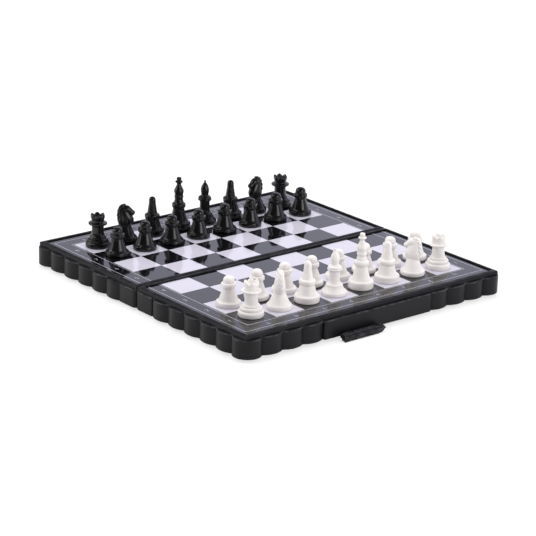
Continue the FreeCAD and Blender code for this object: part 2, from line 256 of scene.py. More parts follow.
# Lamps: place, size, power in watts, and whether gloss shows the lamp
SOFTBOXES = {
    "softbox_top": ((0.1, 0.15, 0.9), (0.9, 0.9), 4.4, False),
    "softbox_left": ((-0.63, 0.63, 0.42), (0.8, 0.6), 3.8, True),
    "softbox_high": ((-0.54, 0.2, 0.82), (0.15, 0.15), 1.0, True),
    "softbox_right": ((0.1, -0.93, 0.36), (0.5, 0.5), 3.0, True),
    "softbox_side": ((0.68, -0.6, 0.35), (0.6, 0.5), 2.0, False),
}


# Meshes from arrays

# Angle in degrees, and distances in metres under which points are one
SHARP_EDGE = 38
DOUBLES_APART = 1e-7
SLIVER = 1e-8

# Largest share of a run that a rounded corner takes, and the steps of round forms
CORNER_SHARE = 0.48
EASE_STEPS = 5
CIRCLE_STEPS = 32
BLOCK_ROWS = 10
BLOCK_COLUMNS = 16
TINY = 1e-9


def placed(name, data):
    """New object in the scene."""
    thing = bpy.data.objects.new(name, data)
    bpy.context.scene.collection.objects.link(thing)
    return thing


def grid_faces(rows, columns):
    """Quads between the rows and columns of a grid whose last column meets its first."""
    row = np.arange(rows - 1)[:, None] * columns
    here = np.arange(columns)[None, :]
    after = (here + 1) % columns
    quads = np.stack([row + here, row + after, row + columns + after, row + columns + here], axis=-1)
    return quads.reshape(-1, 4)


class Form:
    """Points, quads, flat caps and an edge mask, gathered from several surfaces into one piece."""

    def __init__(self):
        self.points = np.zeros((0, 3))
        self.quads = np.zeros((0, 4), int)
        self.caps = []
        self.edge = np.zeros(0)

    def grid(self, surface, edge=None, start_cap=False, end_cap=False):
        """Adds a (rows, columns, 3) surface closed round its columns, its end rows capped if asked."""
        rows, columns = surface.shape[:2]
        base = len(self.points)
        self.points = np.concatenate([self.points, surface.reshape(-1, 3)])
        mask = np.zeros((rows, columns)) if edge is None else np.broadcast_to(edge, (rows, columns))
        self.edge = np.concatenate([self.edge, mask.reshape(-1)])
        self.quads = np.concatenate([self.quads, grid_faces(rows, columns) + base])
        if start_cap:
            self.caps.append(base + np.arange(columns)[::-1])
        if end_cap:
            self.caps.append(base + (rows - 1) * columns + np.arange(columns))
        return self

    def moved(self, matrix, offset):
        """The same form turned by a 3 by 3 matrix and then shifted; a mirror turns its faces round."""
        way = -1 if np.linalg.det(np.array(matrix)) < 0 else 1
        other = Form()
        other.points = self.points @ np.array(matrix).T + np.array(offset)
        other.quads = self.quads[:, ::way]
        other.caps = [cap[::way] for cap in self.caps]
        other.edge = self.edge
        return other

    def join(self, other):
        """Adds another form's surfaces to this one."""
        base = len(self.points)
        self.points = np.concatenate([self.points, other.points])
        self.edge = np.concatenate([self.edge, other.edge])
        self.quads = np.concatenate([self.quads, other.quads + base])
        self.caps += [cap + base for cap in other.caps]
        return self

    def piece(self, name, material):
        """Object with its doubles merged: caps flat, the rest smooth but for edges past SHARP_EDGE."""
        mesh = bpy.data.meshes.new(name)
        faces = self.quads.tolist() + [cap.tolist() for cap in self.caps]
        mesh.from_pydata((self.points * MM).tolist(), [], faces)
        mesh.polygons.foreach_set("use_smooth", np.arange(len(faces)) < len(self.quads))
        mask = mesh.attributes.new("edge", "FLOAT", "POINT")
        mask.data.foreach_set("value", self.edge.astype(np.float32))
        work = bmesh.new()
        work.from_mesh(mesh)
        bmesh.ops.remove_doubles(work, verts=work.verts, dist=DOUBLES_APART)
        bmesh.ops.dissolve_degenerate(work, edges=work.edges, dist=SLIVER)
        work.to_mesh(mesh)
        work.free()
        smooth = np.empty(len(mesh.polygons), bool)
        mesh.polygons.foreach_get("use_smooth", smooth)
        mesh.set_sharp_from_angle(angle=math.radians(SHARP_EDGE))
        mesh.polygons.foreach_set("use_smooth", smooth)
        mesh.materials.append(material)
        return placed(name, mesh)


def turn(degrees):
    """Matrix of a turn about Z by an angle in degrees."""
    c = math.cos(math.radians(degrees))
    s = math.sin(math.radians(degrees))
    return np.array([[c, -s, 0], [s, c, 0], [0, 0, 1]])


MIRROR_Y = np.diag([1.0, -1.0, 1.0])


def unit(vectors):
    """Vectors brought to length 1."""
    length = np.linalg.norm(vectors, axis=-1, keepdims=True)
    return vectors / np.maximum(length, TINY)


def angles(count):
    """Even angles round a whole turn, in radians."""
    return np.arange(count) * 2 * math.pi / count


def arc(centre, radius, start, end, count):
    """Points at even angles, in degrees, round a circle."""
    angle = np.radians(np.linspace(start, end, count))
    return np.array(centre) + radius * np.stack([np.cos(angle), np.sin(angle)], axis=1)


def circle(centre, radius):
    """Points at even angles round a whole circle."""
    return arc(centre, radius, 0, 360, CIRCLE_STEPS + 1)[:-1]


def eased(points, radius):
    """Outline with rounded corners: corner c becomes (1-t)^2 a + 2 t (1-t) c + t^2 b.

    a and b lie on the two runs at the rounding radius from c, or at CORNER_SHARE of a run that is short.
    Returns the points and a mask towards 1 in the middle of each outer corner and -1 in each inner one.
    """
    p = np.array(points, float)
    back = p[:-2] - p[1:-1]
    on = p[2:] - p[1:-1]
    reach_back = np.minimum(radius, CORNER_SHARE * np.linalg.norm(back, axis=1))[:, None]
    reach_on = np.minimum(radius, CORNER_SHARE * np.linalg.norm(on, axis=1))[:, None]
    a = (p[1:-1] + unit(back) * reach_back)[:, None]
    b = (p[1:-1] + unit(on) * reach_on)[:, None]
    c = p[1:-1][:, None]
    t = np.linspace(0, 1, EASE_STEPS)[None, :, None]
    curve = (1 - t) ** 2 * a + 2 * t * (1 - t) * c + t ** 2 * b
    bend = np.clip(1 - np.sum(unit(-back) * unit(on), axis=1), 0, 1)
    bend *= np.sign(back[:, 1] * on[:, 0] - back[:, 0] * on[:, 1])
    mask = bend[:, None] * np.sin(math.pi * np.linspace(0, 1, EASE_STEPS))[None, :]
    path = np.concatenate([p[:1], curve.reshape(-1, 2), p[-1:]])
    return path, np.concatenate([[0], mask.reshape(-1), [0]])


def flow(stations, count):
    """Smooth run through rows of stations, at count places: a cubic between each two.

    Its slope at a station is half the step between the stations on both sides.
    """
    s = np.array(stations, float)
    s = np.concatenate([2 * s[:1] - s[1:2], s, 2 * s[-1:] - s[-2:-1]])
    place = np.linspace(0, len(stations) - 1, count)
    k = np.minimum(place.astype(int), len(stations) - 2)
    t = (place - k)[:, None]
    p0, p1, p2, p3 = s[k], s[k + 1], s[k + 2], s[k + 3]
    return 0.5 * (2 * p1 + (p2 - p0) * t + (2 * p0 - 5 * p1 + 4 * p2 - p3) * t ** 2
                  + (3 * p1 - p0 - 3 * p2 + p3) * t ** 3)


def rounded_block(low, high, radius):
    """Block with rounded edges: a direction n on the sphere goes to sign(n) (half - radius) + radius n."""
    low = np.array(low, float)
    high = np.array(high, float)
    half = (high - low) / 2
    ring = (np.arange(BLOCK_COLUMNS) + 0.5) * 2 * math.pi / BLOCK_COLUMNS
    rise = np.linspace(-math.pi / 2, math.pi / 2, BLOCK_ROWS)
    rise_grid, ring_grid = np.meshgrid(rise, ring, indexing="ij")
    level = np.cos(rise_grid)
    n = np.stack([level * np.cos(ring_grid), level * np.sin(ring_grid), np.sin(rise_grid)], axis=-1)
    corner = np.sign(np.stack([np.cos(ring_grid), np.sin(ring_grid), np.sin(rise_grid)], axis=-1))
    surface = (low + high) / 2 + corner * (half - radius) + radius * n
    return Form().grid(surface, start_cap=True, end_cap=True)


def carried(section, stations, edge=None):
    """Closed (y, z) section carried along X and held, at each station, between its least and most y and z.

    A station is (x, least y, most y, least z, most z). Both ends are rounded by shrinking the section
    towards its middle over the last EDGE_ROUND.
    """
    section = np.array(section, float)
    middle = section.mean(axis=0)
    half = np.abs(section - middle).max(axis=0)
    rows = np.array(stations, float)
    rows = np.concatenate([rows[:1], rows[:1], rows[1:-1], rows[-1:], rows[-1:]])
    rows[1, 0] += EDGE_ROUND
    rows[-2, 0] -= EDGE_ROUND
    shrink = np.zeros((len(rows), 1, 1))
    shrink[[0, -1]] = EDGE_ROUND
    ring = middle + (section - middle) * (1 - shrink / half)
    x, least_y, most_y, least_z, most_z = rows.T[..., None]
    y = np.clip(ring[..., 0], least_y, most_y)
    z = np.clip(ring[..., 1], least_z, most_z)
    return Form().grid(np.stack([np.broadcast_to(x, y.shape), y, z], axis=-1), edge, True, True)


def bars(section, spans):
    """The section carried straight along X over each span."""
    form = Form()
    for span in spans:
        form.join(carried(section, [(x, -np.inf, np.inf, -np.inf, np.inf) for x in span]))
    return form


# Trays

def right_wall():
    """Right half of the rear tray's outer wall in plan, from the hinge round to the panel.

    Each run is an arc: hinge end, end of the plain flat, flutes, corner, flutes and panel end. A flute's
    circle passes through its crest and the two valleys beside it.
    """
    rise = FLUTE_OUT - VALLEY_OUT
    radius = (FLUTE_PITCH ** 2 / 4 + rise ** 2) / (2 * rise)
    inset = radius - FLUTE_OUT
    swing = math.degrees(math.asin(FLUTE_PITCH / 2 / radius))
    reach = CORNER_INSET + math.sqrt(CORNER_R ** 2 - (CORNER_INSET + VALLEY_OUT) ** 2)
    turn_in = math.degrees(math.acos((CORNER_INSET + VALLEY_OUT) / CORNER_R))
    flat_x = RIM_X + FLAT_OUT
    flat_end = RIM_Y - reach - SIDE_FLUTES * FLUTE_PITCH + PANEL_LAP
    panel_half = RIM_X - reach - FRONT_FLUTES * FLUTE_PITCH + PANEL_LAP
    runs = [
        arc((flat_x - FLAT_HINGE_R, HINGE_Y + FLAT_HINGE_R), FLAT_HINGE_R, -90, 0, FLAT_HINGE_STEPS),
        arc((flat_x - FLAT_END_R, flat_end - FLAT_END_R), FLAT_END_R, 0, FLAT_END_TURN, FLAT_END_STEPS),
    ]
    for i in range(SIDE_FLUTES):
        y = RIM_Y - reach - (SIDE_FLUTES - i - 0.5) * FLUTE_PITCH
        runs.append(arc((RIM_X - inset, y), radius, -swing, swing, FLUTE_STEPS))
    corner = (RIM_X - CORNER_INSET, RIM_Y - CORNER_INSET)
    runs.append(arc(corner, CORNER_R, -turn_in, 90 + turn_in, CORNER_STEPS))
    for i in range(FRONT_FLUTES):
        x = RIM_X - reach - (i + 0.5) * FLUTE_PITCH
        runs.append(arc((x, RIM_Y - inset), radius, 90 - swing, 90 + swing, FLUTE_STEPS))
    panel_end = (panel_half - PANEL_END_R, PANEL_Y - PANEL_END_R)
    runs.append(arc(panel_end, PANEL_END_R, PANEL_END_START, 90, PANEL_END_STEPS))
    return np.concatenate(runs)


def tray_path(other):
    """Plan of the rear tray's outer wall, counter-clockwise, as points with three flags.

    Right wall, catch in the panel, the right wall mirrored, then the hinge wall. Flags mark the catch, the
    notches for the other tray's knuckles and the taller rim.
    """
    right = right_wall()
    left = right[::-1] * (-1, 1)
    near = LATCH_X + LATCH_HALF + CATCH_PLAY
    far = LATCH_X - LATCH_HALF - CATCH_PLAY
    catch = np.array([(near, PANEL_Y), (near, PANEL_Y), (far, PANEL_Y), (far, PANEL_Y)])
    end = RIM_X - RIM_W
    breaks = [(-end, 0, 0), (-end, 0, 1)]
    for x0, x1 in knuckle_spans(other):
        low = x0 - KNUCKLE_PLAY
        high = x1 + KNUCKLE_PLAY
        breaks += [(low, 0, 1), (low, 1, 1), (high, 1, 1), (high, 0, 1)]
    breaks += [(end, 0, 1), (end, 0, 0)]
    breaks = np.array(breaks)
    hinge = np.stack([breaks[:, 0], np.full(len(breaks), HINGE_Y)], axis=1)
    points = np.concatenate([right, catch, left, hinge])
    flags = np.zeros((len(points), 3), bool)
    flags[len(right) + 1:len(right) + 3, 0] = True
    flags[-len(breaks):, 1] = breaks[:, 1] > 0
    flags[-len(breaks):, 2] = breaks[:, 2] > 0
    return points, flags


def knuckle_spans(side):
    """X ranges of one tray's knuckles at the three hinge stations."""
    spans = []
    inner = REAR_KNUCKLE / 2 + KNUCKLE_PLAY
    for centre in (-HINGE_STATION, 0, HINGE_STATION):
        if side == "rear":
            spans.append((centre - REAR_KNUCKLE / 2, centre + REAR_KNUCKLE / 2))
        else:
            spans.append((centre - inner - FRONT_KNUCKLE, centre - inner))
            spans.append((centre + inner, centre + inner + FRONT_KNUCKLE))
    return sorted(spans)


def held_inside(path, inset_x, near_y, far_y):
    """Each plan point brought to the nearest place inside a rectangle drawn in from the rim line."""
    x = np.clip(path[:, 0], inset_x - RIM_X, RIM_X - inset_x)
    return np.stack([x, np.clip(path[:, 1], near_y, far_y)], axis=1)


def cavity_plan(path):
    """Rectangle of the cavity with round corners: past a corner's centre a point lies on its circle."""
    plan = held_inside(path, WALL_T, HINGE_Y + HINGE_WALL_T, RIM_Y - WALL_T)
    x = RIM_X - WALL_T - CAVITY_R
    low = HINGE_Y + HINGE_WALL_T + CAVITY_R
    high = RIM_Y - WALL_T - CAVITY_R
    centre = np.stack([np.sign(path[:, 0]) * x, np.clip(path[:, 1], low, high)], axis=1)
    past = (np.abs(path[:, 0]) > x) & (centre[:, 1] != path[:, 1])
    return np.where(past[:, None], centre + CAVITY_R * unit(path - centre), plan)


def rim_rows(path, tall):
    """Rows of plan, z and edge mask from the flutes' rounded top over the rim to the sheet's seat.

    The top's quarter circle is drawn in towards the band by round (1 - cos a). The crown between the slope
    and the seat drops by the square of the share from its middle.
    """
    band = held_inside(path, 0, HINGE_Y, RIM_Y)
    slope = held_inside(path, RIM_SLOPE_W, HINGE_Y + HINGE_SLOPE_W, RIM_Y - RIM_SLOPE_W)
    seat = held_inside(path, RIM_W, HINGE_Y + HINGE_RIM_W, RIM_Y - RIM_W)
    crest = np.where(tall, HINGE_CREST_Z, CREST_Z)
    out = path - band
    out_length = np.maximum(np.linalg.norm(out, axis=1, keepdims=True), TINY)
    rows = []
    # Edge mask peaks halfway round the flutes' rounded top: a painted highlight there on the case, with
    # rubbing
    for angle in np.radians(np.linspace(0, 90, FLUTE_TOP_STEPS)):
        drawn_in = FLUTE_ROUND * (1 - math.cos(angle))
        rows.append((band + out * np.maximum(0, 1 - drawn_in / out_length),
                     SHOULDER_Z - FLUTE_ROUND * (1 - math.sin(angle)), math.sin(2 * angle)))
    rows += [
        (band, SHOULDER_Z, 0),
        (band, SLOPE_Z, 0),
        (band + (slope - band) * SLOPE_BEND_IN, SLOPE_Z + SLOPE_BEND_UP * (crest - SLOPE_Z), 0),
    ]
    for share in np.linspace(0, 1, CROWN_STEPS):
        bow = CROWN_DROP * (2 * share - 1) ** 2
        rows.append((slope + (seat - slope) * share, crest - bow, CROWN_RUB_AND_HIGHLIGHT))
    rows.append((seat, SEAT_Z, 0))
    return rows


def tray(other, with_catch):
    """Rear tray as one section carried round its plan, from the cavity's ceiling out to the sheet's seat.

    Rows go down the cavity wall, round the lower edge, up the fluted wall and over the rim. Hinge notches
    are cylinders about the hinge axis.
    """
    path, flags = tray_path(other)
    catch, notch, tall = flags.T
    cavity = cavity_plan(path)
    outward = unit(path - cavity)
    lip_z = 2 * AXIS_Z - LATCH_Z + LATCH_REACH
    catch_low = lip_z - LATCH_LIP_W - CATCH_PLAY
    catch_high = lip_z + CATCH_PLAY
    inner_rows = [
        (cavity, CAVITY_Z, 0),
        (cavity, WALL_Z + EDGE_ROUND, 0),
        (cavity + outward * EDGE_ROUND, WALL_Z, LOWER_EDGE_WEAR),
    ]
    rows = inner_rows + [
        (path - outward * EDGE_ROUND, WALL_Z, LOWER_EDGE_WEAR),
        (path, WALL_Z + EDGE_ROUND, LOWER_EDGE_WEAR),
    ]
    round_notch = AXIS_Z + NOTCH_R * np.sin(np.radians(NOTCH_ANGLES))
    catch_row = len(rows) + len(round_notch) + 1
    for z in (*round_notch, catch_low, catch_low, catch_high, catch_high, SHOULDER_Z - 2 * FLUTE_ROUND):
        rows.append((path, z, 0))
    rows += rim_rows(path, tall)
    surface = np.stack([np.concatenate([plan, np.broadcast_to(z, len(plan))[:, None]], axis=1)
                        for plan, z, _ in rows])
    edge = np.array([mask for _, _, mask in rows])[:, None]
    outer = surface[len(inner_rows):]
    above = np.maximum(0, NOTCH_R ** 2 - (outer[..., 2] - AXIS_Z) ** 2)
    outer[..., 1] = np.where(notch, np.maximum(outer[..., 1], np.sqrt(above)), outer[..., 1])
    if with_catch:
        surface[catch_row:catch_row + 2, :, 1] -= np.where(catch, CATCH_DEPTH, 0)
    return Form().grid(surface, edge, start_cap=True, end_cap=True)


def toes(toe_x):
    """Two toes inside the far wall, each a root in the cavity and a tip set back from the wall."""
    form = Form()
    wall = RIM_Y - WALL_T
    for side in (-1, 1):
        x0 = side * toe_x - TOE_LENGTH / 2
        x1 = side * toe_x + TOE_LENGTH / 2
        root = (x1, wall + EDGE_ROUND, CAVITY_Z + EDGE_ROUND)
        tip = (x1, wall - TOE_SETBACK, WALL_Z + 2 * EDGE_ROUND)
        form.join(rounded_block((x0, wall - TOE_T, WALL_Z), root, TOE_ROUND))
        form.join(rounded_block((x0, wall - TOE_T, 0), tip, TOE_ROUND))
    return form


def knuckles(side):
    """Barrels about the hinge axis, flat where they stand on the table."""
    ring = circle((0, AXIS_Z), KNUCKLE_R)
    ring[:, 1] = np.maximum(ring[:, 1], 0)
    return bars(ring, knuckle_spans(side))


def ear_spans():
    """X ranges of the two eyes that hold the latch's pin."""
    return [(x - EAR_W / 2, x + EAR_W / 2) for x in (LATCH_X - EAR_STATION, LATCH_X + EAR_STATION)]


def latch_ears():
    """Eyes on the front panel: upper edge straight out from it, then round the pin and back under."""
    run = math.sqrt(BARREL_R ** 2 - (LATCH_Z - WALL_Z) ** 2)
    start = math.degrees(math.atan2(WALL_Z - LATCH_Z, run))
    root = EDGE_ROUND - PANEL_Y
    round_pin = arc((LATCH_Y, LATCH_Z), BARREL_R, 90, 360 + start, EAR_STEPS)
    section = np.concatenate([[(root, WALL_Z), (root, LATCH_Z + BARREL_R)], round_pin])
    return bars(section[::-1], ear_spans())


def ribs(count, points):
    """Shares from 0 to 1 and the height |sin| to the RIB_POWER of so many round ribs."""
    share = np.linspace(0, 1, points)
    return share, np.abs(np.sin(math.pi * count * share)) ** RIB_POWER


def latch_section():
    """Closed (y, z) section of the thumb plate, and a mask where its ribs are lightened by rubbing and by a
    painted highlight.

    z = plate + rib |sin| on top and y = edge - rib |sin| outside, then round the lip and back below.
    """
    low = LATCH_Z - LATCH_PLATE_DROP
    high = LATCH_Z + LATCH_PLATE_RISE
    rib = BARREL_R - LATCH_PLATE_RISE
    across, top_rise = ribs(LATCH_RIBS, LATCH_POINTS)
    down, outer_rise = ribs(LATCH_OUTER_RIBS, LATCH_OUTER_POINTS)
    top = np.stack([LATCH_Y - across * (LATCH_REACH - EDGE_ROUND), high + rib * top_rise], axis=1)
    outer = np.stack([LATCH_EDGE_Y + LATCH_OUTER_RIB * (1 - outer_rise),
                      high - EDGE_ROUND + down * (LIP_Z + 2 * EDGE_ROUND - high)], axis=1)
    under = [(LATCH_EDGE_Y + 2 * EDGE_ROUND, LIP_Z), (LATCH_EDGE_Y + LATCH_LIP_W - EDGE_ROUND, LIP_Z),
             (LATCH_EDGE_Y + LATCH_LIP_W, low), (LATCH_Y, low)]
    # Rib crests lightened by rubbing and by a painted highlight
    rib_rubbing_and_highlight = np.concatenate([top_rise, outer_rise, np.zeros(len(under))]) ** RIB_RUB_AND_HIGHLIGHT_POWER
    return np.concatenate([top, outer, under]), rib_rubbing_and_highlight


def latch():
    """Thumb plate carried along X, with its barrel and a cheek.

    The plate's back is held clear of the eyes, and the barrel fills the places beside them. The left end is
    square and closed by the cheek. Towards the right tip the plate narrows and the lip rises straight.
    """
    left = LATCH_X - LATCH_HALF
    end = LATCH_HALF - LATCH_CORNER
    clear = LATCH_Y - BARREL_R - BARREL_GAP
    tip_y = LATCH_Y - LATCH_TIP_REACH
    tip_z = LATCH_Z - LATCH_TIP_DROP
    tip = (tip_y - LATCH_TIP / 2, tip_y + LATCH_TIP / 2, tip_z - LATCH_TIP / 2, tip_z + LATCH_TIP / 2)
    whole = (LATCH_EDGE_Y, LATCH_Y, LIP_Z, np.inf)
    cleared = (LATCH_EDGE_Y, clear, LIP_Z, np.inf)

    def lip_rise(x):
        """Lowest z of the lip at x from the latch's middle."""
        return np.interp(x, [EAR_STATION, LATCH_HALF], [LIP_Z, tip[2]])

    stations = [(left, *whole)]
    breaks = [LATCH_X - end]
    for x0, x1 in ear_spans():
        near = x0 - EAR_PLAY
        far = x1 + EAR_PLAY
        rise = lip_rise(far - LATCH_X)
        breaks += [near, far]
        stations += [(near, *whole), (near, *cleared), ((x0 + x1) / 2, *cleared)]
        stations += [(far, LATCH_EDGE_Y, y, rise, np.inf) for y in (clear, LATCH_Y)]
    breaks.append(LATCH_X + end)
    stations.append((LATCH_X + end, (LATCH_EDGE_Y + tip[0]) / 2, LATCH_Y, lip_rise(end), np.inf))
    stations.append((LATCH_X + LATCH_HALF, *tip))
    section, rib_rubbing_and_highlight = latch_section()
    form = carried(section, stations, rib_rubbing_and_highlight)
    form.join(bars(circle((LATCH_Y, LATCH_Z), BARREL_R), zip(breaks[::2], breaks[1::2])))
    form.join(rounded_block((left, LATCH_EDGE_Y + LATCH_OUTER_RIB, LATCH_Z - LATCH_CHEEK_DROP),
                            (left + LATCH_CHEEK_T, LATCH_Y - LATCH_CHEEK_BACK, LATCH_Z), EDGE_ROUND))
    return form


# Men

# Steps round a man, and the mould seam: its rise, the |cos a| where it starts and its least radius
SEGMENTS = 72
SEAM_RISE = 0.035
SEAM_START = 0.998
SEAM_LEAST_R = 0.6

# Profiles as radius and height, from the middle of the foot to the top
PAWN = ((0, 0), (4.55, 0), (4.7, 0.4), (4.7, 1.45), (4.5, 1.85), (3.95, 2.15), (3.6, 2.6), (3.15, 3.9),
        (2.6, 5.5), (2.15, 6.9), (2.25, 7.15), (2.8, 7.4), (2.85, 7.7), (2.85, 8.5), (2.7, 8.8),
        (2.15, 9.0), (2.1, 10.1), (1.75, 10.95), (0.9, 11.45), (0, 11.5))
BISHOP = ((0, 0), (4.65, 0), (4.8, 0.4), (4.8, 2.2), (4.6, 2.65), (3.75, 3.05), (3.3, 4.2), (2.7, 6.75),
          (3.0, 7.1), (3.05, 7.4), (3.05, 8.2), (2.85, 8.55), (2.1, 8.85), (1.95, 9.4), (1.65, 11.4),
          (1.4, 13.0), (1.38, 14.6), (1.1, 15.4), (0.5, 15.76), (0, 15.8))
QUEEN = ((0, 0), (4.75, 0), (4.9, 0.4), (4.9, 1.35), (4.4, 1.75), (3.65, 2.6), (3.2, 3.6), (3.2, 4.2),
         (2.45, 4.6), (2.1, 5.5), (2.0, 9.2), (2.3, 9.55), (2.8, 9.85), (2.8, 10.3), (2.45, 10.5),
         (2.7, 10.8), (2.45, 11.2), (1.65, 11.6), (1.45, 12.1), (1.65, 13.2), (1.75, 14.2), (1.35, 15.7),
         (0.7, 16.85), (0.32, 17.15), (0.42, 17.6), (0.35, 17.95), (0, 18.1))
KING = ((0, 0), (4.75, 0), (4.85, 0.4), (4.78, 2.6), (4.55, 3.05), (3.7, 3.4), (3.15, 4.8), (2.75, 6.3),
        (2.3, 8.4), (2.35, 8.85), (2.7, 9.2), (2.8, 9.7), (2.8, 10.3), (2.6, 10.75), (1.95, 11.15),
        (1.85, 11.9), (1.65, 12.3), (1.65, 12.9), (1.85, 13.2), (1.88, 13.6), (1.72, 14.0), (1.72, 14.8),
        (1.95, 15.4), (2.0, 15.9), (1.85, 16.5), (1.35, 17.4), (1.05, 18.2), (0.85, 18.75), (0.9, 19.05),
        (1.55, 19.6), (1.55, 19.95), (0.9, 20.3), (1.0, 20.9), (0.95, 21.55), (0, 21.7))
ROOK_TOWER = ((0, 0), (4.7, 0), (4.85, 0.4), (4.85, 1.6), (4.55, 2.1), (4.2, 2.25), (4.15, 3.2),
              (3.85, 3.5), (3.35, 3.65), (3.3, 4.3), (2.75, 4.7), (2.45, 5.8), (2.35, 8.5), (2.6, 9.0),
              (3.7, 9.2), (3.75, 9.6), (3.7, 9.95), (2.6, 10.2), (2.45, 10.6), (2.6, 11.4), (2.8, 12.0))
KNIGHT_FOOT = ((0, 0), (4.65, 0), (4.8, 0.4), (4.8, 1.35), (4.55, 1.85), (4.05, 2.2), (3.55, 3.1),
               (2.8, 4.8), (2.35, 6.0), (2.3, 6.4), (1.2, 6.7), (0, 6.7))
PROFILE_ROUND = 0.45

ROOK_TOP = 13.4
ROOK_POINTS = 6
ROOK_POINT_DEPTH = 1.0
# Crown as radius, drop from the wall's top and edge mask; cup as radius and height
ROOK_CROWN = ((2.85, 0.3, 0.3), (2.75, 0.08, 1), (2.63, 0, 1), (2.3, 0, 1), (2.15, 0.15, 0.6))
ROOK_CUP = ((1.9, 11.85), (1.65, 11.75), (0, 11.75))


def lathe_rows(path, angle):
    """Profile (r, z) turned round Z, with the thin mould seam left standing at two opposite sides."""
    seam = SEAM_RISE * np.maximum(0, np.abs(np.cos(angle)) - SEAM_START) / (1 - SEAM_START)
    r = path[:, 0][:, None] + seam[None, :] * (path[:, 0] > SEAM_LEAST_R)[:, None]
    z = np.broadcast_to(path[:, 1][:, None], r.shape)
    return np.stack([r * np.cos(angle), r * np.sin(angle), z], axis=-1)


def turned(profile):
    """Profile with eased corners turned round Z; grooves and corners go into the edge mask."""
    path, mask = eased(profile, PROFILE_ROUND)
    return Form().grid(lathe_rows(path, angles(SEGMENTS)), mask[:, None])


def rook():
    """Tower whose wall rises to z = top - depth (1 - |cos(points a / 2)|), then falls into the cup."""
    angle = angles(SEGMENTS)
    path, mask = eased(ROOK_TOWER, PROFILE_ROUND)
    top = ROOK_TOP - ROOK_POINT_DEPTH * (1 - np.abs(np.cos(ROOK_POINTS * angle / 2)))
    rings = [(r, top - drop) for r, drop, _ in ROOK_CROWN]
    rings += [(r, np.full(SEGMENTS, z)) for r, z in ROOK_CUP]
    crown = np.stack([np.stack([r * np.cos(angle), r * np.sin(angle), z], axis=1) for r, z in rings])
    crown_mask = [edge_tone for _, _, edge_tone in ROOK_CROWN] + [0] * len(ROOK_CUP)
    surface = np.concatenate([lathe_rows(path, angle), crown])
    return Form().grid(surface, np.concatenate([mask, crown_mask])[:, None])


def limb(stations, count, columns, side=0.0, relief=None):
    """Tube through (along, height, half depth, half width) stations in the plane of the head.

    Point = spine + depth cos(a) (in-plane normal) + width sin(a) (sideways), both grown by 1 + relief(s, a)
    where s is the share of the length; both ends close to a point.
    """
    run = flow(stations, count)
    spine = run[:, :2]
    ahead = unit(np.gradient(spine, axis=0))
    normal = np.stack([ahead[:, 1], -ahead[:, 0]], axis=1)
    angle = angles(columns)
    share = np.linspace(0, 1, count)[:, None]
    grown = 1 if relief is None else 1 + relief(share, angle)
    depth = np.maximum(run[:, 2:3], 0) * np.cos(angle) * grown
    width = np.maximum(run[:, 3:], 0) * np.sin(angle) * grown
    x = spine[:, :1] + normal[:, :1] * depth
    z = spine[:, 1:] + normal[:, 1:] * depth
    return Form().grid(np.stack([x, width + side, z], axis=-1))


# Knight's tubes as along, height, half depth and half width
NECK = ((-0.1, 5.7, 2.1, 2.0), (-0.1, 7.0, 2.75, 2.15), (0.15, 8.4, 3.3, 2.2), (-0.1, 9.7, 2.9, 2.05),
        (-0.45, 10.9, 2.5, 1.85), (-0.8, 12.0, 2.1, 1.6), (-1.0, 13.2, 1.45, 1.3), (-0.95, 14.1, 0.7, 0.8),
        (-0.9, 14.4, 0, 0))
HEAD = ((-1.5, 13.6, 0, 0), (-1.2, 13.5, 0.9, 1.0), (-0.3, 13.15, 1.5, 1.5), (0.6, 12.75, 1.75, 1.6),
        (1.5, 12.25, 1.5, 1.4), (2.3, 11.75, 1.2, 1.15), (3.0, 11.35, 1.1, 1.1), (3.5, 11.07, 0.85, 0.85),
        (3.68, 10.96, 0, 0))
MANE = ((0.5, 14.55, 0, 0), (-0.3, 14.65, 0.35, 0.5), (-1.3, 14.25, 0.55, 0.8), (-2.05, 13.3, 0.6, 0.95),
        (-2.5, 11.9, 0.6, 1.05), (-2.65, 10.3, 0.6, 1.1), (-2.6, 8.7, 0.5, 1.0), (-2.4, 7.3, 0.35, 0.75),
        (-2.1, 6.4, 0, 0))
HORSE_EAR = ((-0.6, 13.7, 0, 0), (-0.5, 14.1, 0.5, 0.4), (-0.25, 14.65, 0.38, 0.32), (0.0, 15.08, 0, 0))
HORSE_EAR_SIDE = 0.72
# Rows along and columns round each tube
NECK_GRID = (40, 36)
HEAD_GRID = (40, 28)
MANE_GRID = (90, 24)
HORSE_EAR_GRID = (14, 14)
EYE = (0.95, 1.38, 13.1)
EYE_R = 0.36
NOSTRIL = (3.25, 0.85, 11.5)
NOSTRIL_R = 0.22
MANE_LOCKS = 7
MANE_LOCK_RISE = 0.5
MANE_LOCK_SLANT = 0.9
MOUTH_START = (3.4, 10.75)
MOUTH_SLOPE = 0.375
MOUTH_END = 2.0
MOUTH_HALF_W = 0.14
MOUTH_DEPTH = 0.18


def mane_locks(share, angle):
    """Ridges that slope down from the crest to both sides.

    Relief = rise (|sin(pi (locks s + slant |sin a|))| - 1/2).
    """
    ridge = np.abs(np.sin(math.pi * (MANE_LOCKS * share + MANE_LOCK_SLANT * np.abs(np.sin(angle)))))
    return MANE_LOCK_RISE * (ridge - 0.5)


